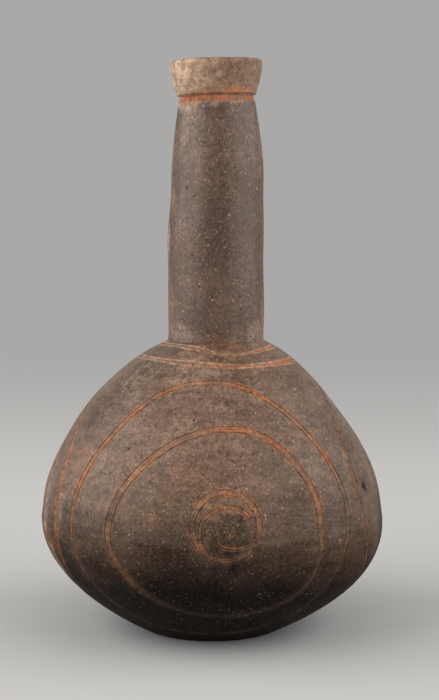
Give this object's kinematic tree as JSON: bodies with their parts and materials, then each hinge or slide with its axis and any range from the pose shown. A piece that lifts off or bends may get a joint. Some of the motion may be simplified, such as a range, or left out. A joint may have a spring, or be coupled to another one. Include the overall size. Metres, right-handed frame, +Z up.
{
  "type": "pottery bottle",
  "caption": "Hand-built pottery bottle with a low round body, tall neck, flared rim collar and engraved circles filled with red pigment.",
  "frame": {"origin": "centre of the flat foot's underside", "axes": "+Z up through the mouth; -Y towards the panel with the circles"},
  "size_m": [0.1459, 0.1452, 0.2408],
  "materials": {
    "dark_clay": "burnished, fire-darkened",
    "grey_clay": "burnished grey-brown with pale grit",
    "buff_clay": "worn buff with brown stains",
    "red_pigment": "matt red ochre"
  },
  "bodies": {
    "root": {"base_disc": "dark_clay", "body_ring_1": "dark_clay", "body_ring_2": "dark_clay", "body_ring_3": "dark_clay", "body_ring_4": "grey_clay", "body_ring_5": "grey_clay", "body_ring_6": "grey_clay", "body_ring_7": "grey_clay", "shoulder_ring": "grey_clay", "neck_ring_1": "grey_clay", "neck_ring_2": "grey_clay", "neck_ring_3": "grey_clay", "neck_ring_4": "grey_clay", "neck_ring_5": "grey_clay", "rim_collar": "buff_clay", "groove_pigment": "red_pigment", "lower_band_pigment": "red_pigment", "upper_band_pigment": "red_pigment"}
  },
  "joints": []
}
